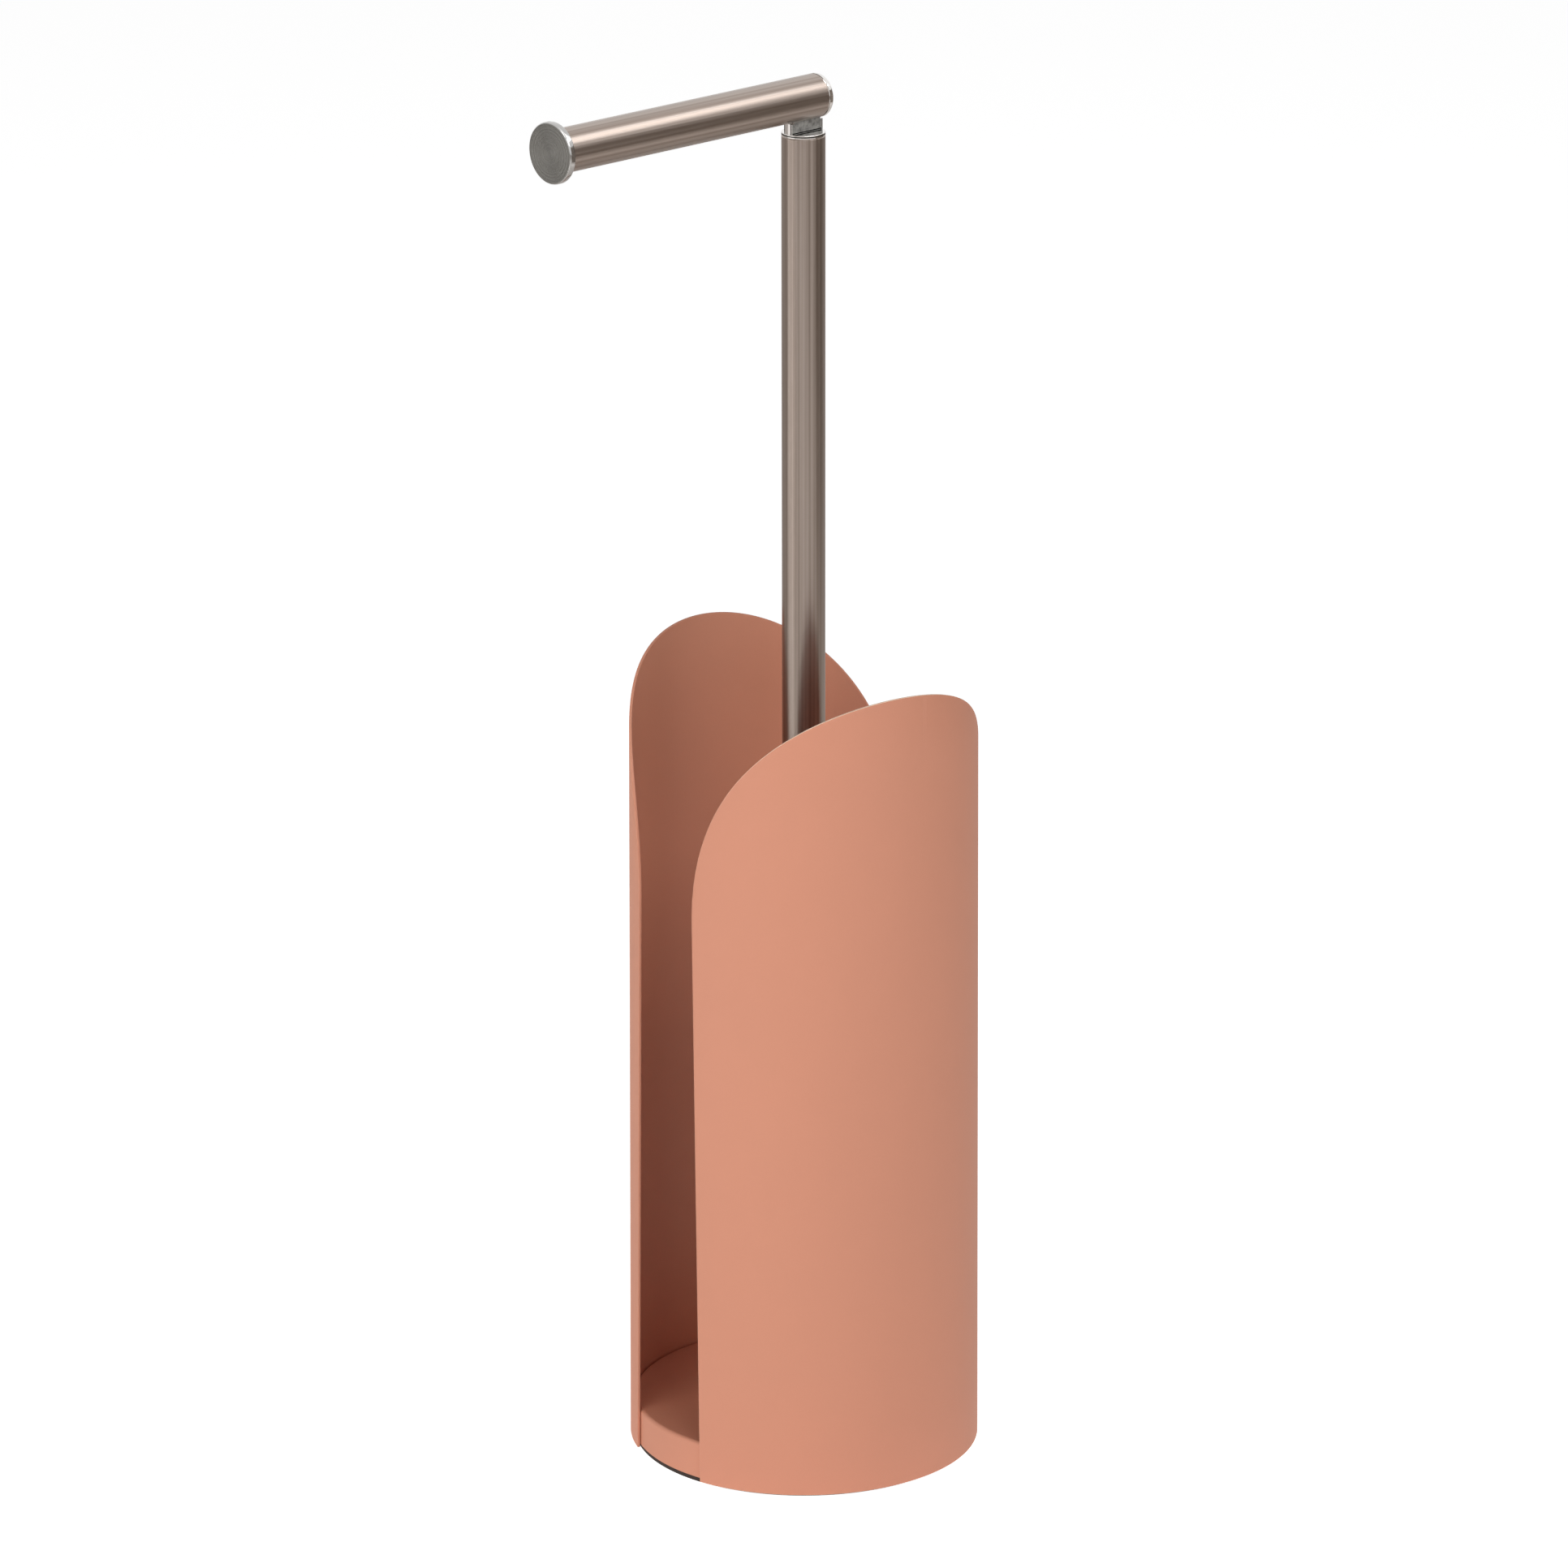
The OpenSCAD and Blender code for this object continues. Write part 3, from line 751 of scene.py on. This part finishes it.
class HOLDER_OT_joint(bpy.types.Operator):
    """Makes the tongue and the clevis of the tip-up joint"""
    bl_idname = "holder.joint"
    bl_label = "Tip-up joint"
    bl_options = {"REGISTER", "UNDO"}

    def execute(self, context):
        joint, axis_z = sizes(context, "joint"), sizes(context, "arm").axis_z
        polished = bpy.data.materials["polished_steel"]
        tongue = self.tongue(joint, axis_z)
        # Faces in the tongue's grooves get the near-black paint, a painted shade; cast faces and
        # the foot are zinc, the rest polished
        for face in tongue.faces:
            middle = face.calc_center_median()
            sunk = any(all(low - SLACK < part < high + SLACK
                           for low, part, high in zip(corners[0], middle, corners[1]))
                       for corners in self.grooves(joint, axis_z))
            cast = abs(face.normal.y) > CAST or middle.z < COLLAR_HIGH.z
            face.material_index = 2 if sunk else 0 if cast else 1
        finish_piece(tongue, "hinge_tongue_casting", "hinge_tongue", "stand",
                     [bpy.data.materials["cast_zinc"], polished,
                      bpy.data.materials["dull_recess"]], sharp=SHARP_TONGUE)
        finish_piece(self.clevis(joint, axis_z), "arm_clevis_turned", "arm_clevis", "arm",
                     [polished])
        return {"FINISHED"}

    def tongue(self, joint, axis_z):
        """Flat-sided block with round ends, a neck with a round head, and a spigot."""
        foot, half = COLLAR_HIGH.z, joint.tongue_half
        bm = rod(joint.tongue_r, foot, axis_z - joint.shoulder)
        for side in (-1, 1):
            cut = bmesh.ops.bisect_plane(bm, geom=bm.verts[:] + bm.edges[:] + bm.faces[:],
                                         plane_co=(0, side * half, 0), plane_no=(0, side, 0),
                                         clear_outer=True)
            edges = [item for item in cut["geom_cut"] if isinstance(item, bmesh.types.BMEdge)]
            bmesh.ops.edgeloop_fill(bm, edges=edges)
        corners = [edge for edge in bm.edges
                   if abs(edge.verts[0].co.z - edge.verts[1].co.z) > UPRIGHT
                   and abs(abs(edge.verts[0].co.y) - half) < WELD]
        bmesh.ops.bevel(bm, geom=corners, offset=joint.corner_r, offset_type="OFFSET",
                        segments=4, profile=0.5, affect="EDGES", material=-1)
        spigot = rod(joint.spigot_r, TONGUE_LOW.z, foot)
        hole = pin_bar(joint.hole_r, axis_z, 2 * half)
        return worked("DIFFERENCE", worked("UNION", bm, self.neck(joint, axis_z), spigot), hole,
                      *(block(*corners) for corners in self.grooves(joint, axis_z)))

    def grooves(self, joint, axis_z):
        """Low and high corner of each groove: at the foot of both faces and up both ends."""
        foot, top = COLLAR_HIGH.z, axis_z - joint.shoulder
        r, half, deep, wide = joint.tongue_r, joint.tongue_half, joint.groove_t, joint.groove_w / 2
        low, high = foot + joint.groove_z - wide, foot + joint.groove_z + wide
        for side in (-1, 1):
            faces = sorted((side * (half - deep), side * 2 * half))
            yield (-r + deep, faces[0], low), (r - deep, faces[1], high)
            edges = sorted((side * (joint.groove_y - wide), side * (joint.groove_y + wide)))
            for end in (-1, 1):
                ends = sorted((end * (r - joint.end_t), end * 2 * r))
                yield (ends[0], edges[0], foot - deep), (ends[1], edges[1], top + deep)

    def neck(self, joint, axis_z):
        """Plate inside the arm: a straight neck with a round head over it."""
        start = math.degrees(math.asin(joint.neck_drop / joint.head_r))
        low, top = axis_z - joint.shoulder - joint.neck_drop, axis_z - joint.neck_drop
        outline = [(-joint.neck_half, low), (joint.neck_half, low), (joint.neck_half, top)]
        outline += arc((0, axis_z), joint.head_r, -start, 180 + start, HEAD_STEPS)
        outline += [(-joint.neck_half, top)]
        bm = bmesh.new()
        plate = bm.faces.new([bm.verts.new((x, -joint.tongue_half, z)) for x, z in outline])
        grown = bmesh.ops.extrude_face_region(bm, geom=[plate])
        moved = [item for item in grown["geom"] if isinstance(item, bmesh.types.BMVert)]
        bmesh.ops.translate(bm, verts=moved, vec=(0, 2 * joint.tongue_half, 0))
        bmesh.ops.recalc_face_normals(bm, faces=bm.faces)
        return bm

    def clevis(self, joint, axis_z):
        """Plug with a polished rim, slotted for the tongue and bored for the pin."""
        back, nose, rim = -CLEVIS_HIGH.x, -CLEVIS_LOW.x, -TUBE_HIGH.x
        r, plug_r = CLEVIS_HIGH.y, CLEVIS_HIGH.y - joint.rim_step
        edge, groove = joint.rim_edge, joint.rim_groove
        profile = [(0, back)] + arc((r - edge, back + edge), edge, -90, 0, steps=8)
        profile += [(r, rim - groove), (r - groove, rim - groove), (r - groove, rim),
                    (plug_r, rim), (plug_r, nose), (0, nose)]
        bm = turned(profile, ARM_STEPS)
        lay_along_arm(bm, axis_z)
        return worked("DIFFERENCE", bm, tongue_slot(joint, axis_z),
                      pin_bar(joint.seat_r, axis_z, 2 * r))


def tongue_slot(joint, axis_z):
    """The room that the tongue needs in the arm, open below and at the back."""
    return block((-joint.slot_front, -joint.slot_half, axis_z - 2 * CLEVIS_HIGH.y),
                 (2 * CLEVIS_HIGH.x, joint.slot_half, axis_z + joint.slot_top))


class HOLDER_OT_arm(bpy.types.Operator):
    """Makes the arm tube, slotted for the tongue"""
    bl_idname = "holder.arm"
    bl_label = "Arm tube"
    bl_options = {"REGISTER", "UNDO"}

    def execute(self, context):
        post, arm = sizes(context, "post"), sizes(context, "arm")
        r, bore, cut = post.tube_r, post.tube_r - post.tube_wall, post.end_break
        back, tip = -TUBE_HIGH.x, -TUBE_LOW.x
        bm = turned([(bore, back), (r - cut, back), (r, back + cut), (r, tip - cut),
                     (r - cut, tip), (bore, tip)], ARM_STEPS)
        lay_along_arm(bm, arm.axis_z)
        finish_piece(worked("DIFFERENCE", bm, tongue_slot(sizes(context, "joint"), arm.axis_z)),
                     "arm_tube_brushed", "arm_tube", "arm",
                     [bpy.data.materials["brushed_steel_arm"]])
        return {"FINISHED"}


class HOLDER_OT_cap(bpy.types.Operator):
    """Makes the tip cap"""
    bl_idname = "holder.cap"
    bl_label = "Tip cap"
    bl_options = {"REGISTER", "UNDO"}

    def execute(self, context):
        arm = sizes(context, "arm")
        r, face = arm.cap_r, arm.reach
        back = face - arm.disc_t
        plug_end = back - arm.plug_l
        profile = [(0, face)]
        profile += arc((r - arm.front_r, face - arm.front_r), arm.front_r, 90, 0, steps=8)
        profile += arc((r - arm.back_r, back + arm.back_r), arm.back_r, 0, -90, steps=5)
        profile += [(arm.plug_r, back), (arm.plug_r, plug_end + arm.plug_chamfer),
                    (arm.plug_r - arm.plug_chamfer, plug_end), (0, plug_end)]
        bm = turned(profile, ARM_STEPS)
        for item in bm.faces:
            if item.calc_center_median().z > face - arm.face_t:
                item.material_index = 1
        lay_along_arm(bm, arm.axis_z)
        finish_piece(bm, "tip_cap_turned", "tip_cap", "arm",
                     [bpy.data.materials["turned_steel"], bpy.data.materials["spun_steel"]])
        return {"FINISHED"}


class HOLDER_OT_finishes(bpy.types.Operator):
    """Makes the finishes and gives them to the CAD nodes"""
    bl_idname = "holder.finishes"
    bl_label = "Finishes"
    bl_options = {"REGISTER", "UNDO"}

    def execute(self, context):
        finish = sizes(context, "finishes")
        for node in frame["nodes"].values():
            node.data.materials.clear()
        for plain in bpy.data.materials[:]:
            bpy.data.materials.remove(plain)
        made = {
            "powder_coat": powder_coat("powder_coat", finish.coat, 0.50),
            # Lighter, glossier copy of the coat for the front panel's rim: a painted highlight
            "powder_coat_edge": powder_coat("powder_coat_edge", finish.coat_painted_highlight, 0.34),
            "brushed_steel_post": brushed_steel(finish, "brushed_steel_post", 2),
            "brushed_steel_arm": brushed_steel(finish, "brushed_steel_arm", 0),
            "polished_steel": polished_steel("polished_steel", finish.polished, 0.06),
            "turned_steel": polished_steel("turned_steel", finish.turned, 0.10),
            "spun_steel": spun_steel(finish, sizes(context, "arm").axis_z),
            "cast_zinc": cast_zinc("cast_zinc", finish.cast),
            # The grooves' near-black paint, a painted shade, made as a dark casting
            "dull_recess": cast_zinc("dull_recess", finish.groove_painted_shade),
            "plated_steel": plated_steel(finish),
            "ballast_steel": ballast_steel(finish),
            "foot_rubber": foot_rubber(finish),
            "cover_plastic": moulded_plastic("cover_plastic", finish.cover, 0.5),
            "washer_plastic": moulded_plastic("washer_plastic", finish.washer, 0.35),
        }
        special = {"post_tube": "brushed_steel_post", "arm_tube": "brushed_steel_arm"}
        for row in frame["record"]["subparts"]:
            material = made[special.get(row["node"], row["material_slot"])]
            frame["nodes"][row["node"]].data.materials.append(material)
        return {"FINISHED"}


class HOLDER_OT_studio(bpy.types.Operator):
    """Makes the floor, the lamps, the world and the camera"""
    bl_idname = "holder.studio"
    bl_label = "Studio"
    bl_options = {"REGISTER", "UNDO"}

    def execute(self, context):
        studio = sizes(context, "studio")
        self.floor(context, studio)
        self.cards(context, studio)
        self.world(context)
        self.lamps(context, studio)
        self.camera(context, studio)
        context.scene.view_settings.view_transform = "Standard"
        return {"FINISHED"}

    def floor(self, context, studio):
        material, board = new_material("studio_floor")
        paint = board.node("ShaderNodeBsdfDiffuse", None, {"Color": rgba(FLOOR_SHADE)})
        camera, mirror = seen_rays(board)
        glow = board.node("ShaderNodeEmission", None,
                          {"Color": board.tint(mirror, FLOOR_SEEN, FLOOR_MIRRORED),
                           "Strength": glow_strength(camera, mirror, *FLOOR_GLOW)})
        board.surface(board.node("ShaderNodeAddShader", None, {0: paint, 1: glow}))
        self.sheet(context, "studio_floor", material, studio.floor_half, studio.floor_half,
                   Matrix.Identity(4))

    def cards(self, context, studio):
        for name, azimuth, distance, wide, tall, shade, matt, metal in CARDS:
            material, board = new_material(name)
            board.surface(board.node("ShaderNodeBsdfDiffuse", None, {"Color": rgba(shade)}))
            place = round_post(studio, azimuth, 0, distance, tall / 2)
            turn = (-Vector((place.x, place.y, 0))).to_track_quat("Z", "Y").to_matrix().to_4x4()
            card = self.sheet(context, name, material, wide / 2, tall / 2,
                              Matrix.Translation(place) @ turn)
            card.visible_camera = False
            card.visible_shadow = False
            card.visible_diffuse, card.visible_glossy = matt, metal

    def sheet(self, context, name, material, half_wide, half_tall, place):
        """A flat sheet of the studio, which is no part of the object."""
        bm = bmesh.new()
        bmesh.ops.create_grid(bm, x_segments=1, y_segments=1, size=1)
        bmesh.ops.scale(bm, verts=bm.verts, vec=(half_wide, half_tall, 1))
        bmesh.ops.transform(bm, verts=bm.verts, matrix=place)
        mesh = bpy.data.meshes.new(name)
        bm.to_mesh(mesh)
        bm.free()
        mesh.materials.append(material)
        piece = bpy.data.objects.new(name, mesh)
        context.scene.collection.objects.link(piece)
        piece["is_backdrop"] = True
        return piece

    def world(self, context):
        world = bpy.data.worlds.new("studio_world")
        context.scene.world = world
        board = Board(world)
        soft = board.node("ShaderNodeBackground", None,
                          {"Color": (1, 1, 1, 1),
                           "Strength": glow_strength(*seen_rays(board), *WORLD_GLOW)})
        board.node("ShaderNodeOutputWorld", None, {"Surface": soft})

    def lamps(self, context, studio):
        for name, azimuth, elevation, distance, aim, wide, tall, power, matt, metal in LAMPS:
            lamp = bpy.data.lights.new(name, "AREA")
            lamp.shape = "RECTANGLE"
            lamp.size, lamp.size_y = wide, tall
            lamp.energy = power
            spot = bpy.data.objects.new(name, lamp)
            spot.visible_diffuse, spot.visible_glossy = matt, metal
            where = round_post(studio, azimuth, elevation, distance, aim)
            turn = (Vector((0, 0, aim)) - where).to_track_quat("-Z", "Y").to_matrix().to_4x4()
            spot.matrix_world = Matrix.Translation(where) @ turn
            context.scene.collection.objects.link(spot)

    def camera(self, context, studio):
        data = bpy.data.cameras.new("photo_camera")
        data.sensor_width = SENSOR
        data.lens = studio.lens
        data.clip_end = SIGHT
        camera = bpy.data.objects.new("photo_camera", data)
        where = beside_camera(studio, 0, studio.distance, studio.height)
        camera.matrix_world = (Matrix.Translation(where)
                               @ Matrix.Rotation(studio.turn - studio.yaw, 4, "Z")
                               @ Matrix.Rotation(math.pi / 2 - studio.pitch, 4, "X")
                               @ Matrix.Rotation(studio.roll, 4, "Z"))
        context.scene.collection.objects.link(camera)
        context.scene.camera = camera


def seen_rays(board):
    """1 for camera rays, and 1 for glossy and transmission rays."""
    camera, glossy, through = (
        board.node("ShaderNodeLightPath", output=name)
        for name in ("Is Camera Ray", "Is Glossy Ray", "Is Transmission Ray"))
    return camera, glossy.highest(through)


def glow_strength(camera, mirror, seen, mirrored, plain):
    """A glow's strength for camera rays, for mirror rays and for all others."""
    return camera * (seen - plain) + mirror * (mirrored - plain) + plain


def beside_camera(studio, right, front, up):
    """A point so far to the camera's right, towards the camera and up from the floor."""
    return Matrix.Rotation(studio.turn, 3, "Z") @ Vector((right, -front, up))


def round_post(studio, azimuth, elevation, distance, height):
    """A point round the post. Azimuth 0 is the camera's side and 90 its right, in degrees."""
    side, rise = math.radians(azimuth), math.radians(elevation)
    level = distance * math.cos(rise)
    return beside_camera(studio, level * math.sin(side), level * math.cos(side),
                         height + distance * math.sin(rise))


class HOLDER_PT_sidebar(bpy.types.Panel):
    """Lists the operators in the sidebar"""
    bl_idname = "HOLDER_PT_sidebar"
    bl_label = "Toilet roll holder"
    bl_space_type = "VIEW_3D"
    bl_region_type = "UI"
    bl_category = "Holder"

    def draw(self, context):
        for operator in OPERATORS:
            self.layout.operator(operator.bl_idname)


GROUPS = {"shell": ShellSizes, "base": BaseSizes, "post": PostSizes, "joint": JointSizes,
          "arm": ArmSizes, "finishes": Finishes, "studio": StudioSizes}
OPERATORS = (HOLDER_OT_finishes, HOLDER_OT_panels, HOLDER_OT_base, HOLDER_OT_post,
             HOLDER_OT_joint, HOLDER_OT_arm, HOLDER_OT_cap, HOLDER_OT_studio)


def register():
    """Registers the sizes, the operators and the panel."""
    for name, group in GROUPS.items():
        bpy.utils.register_class(group)
        setattr(bpy.types.Scene, "holder_" + name, bpy.props.PointerProperty(type=group))
    for item in (*OPERATORS, HOLDER_PT_sidebar):
        bpy.utils.register_class(item)


def unregister():
    """Takes back what register did, in the reverse order."""
    for item in reversed((*OPERATORS, HOLDER_PT_sidebar)):
        bpy.utils.unregister_class(item)
    for name, group in reversed(GROUPS.items()):
        delattr(bpy.types.Scene, "holder_" + name)
        bpy.utils.unregister_class(group)


def main():
    """Builds the scene with the operators and works out both boxes."""
    register()
    bpy.ops.holder.finishes()
    bpy.ops.holder.panels()
    bpy.ops.holder.base()
    bpy.ops.holder.post()
    bpy.ops.holder.joint()
    bpy.ops.holder.arm()
    bpy.ops.holder.cap()
    bpy.ops.holder.studio()
    boxes = {"cad": CAD_BOX, "visual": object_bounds()}
    {name: [list(corner) for corner in box] for name, box in boxes.items()}


if __name__ == "__main__":
    main()
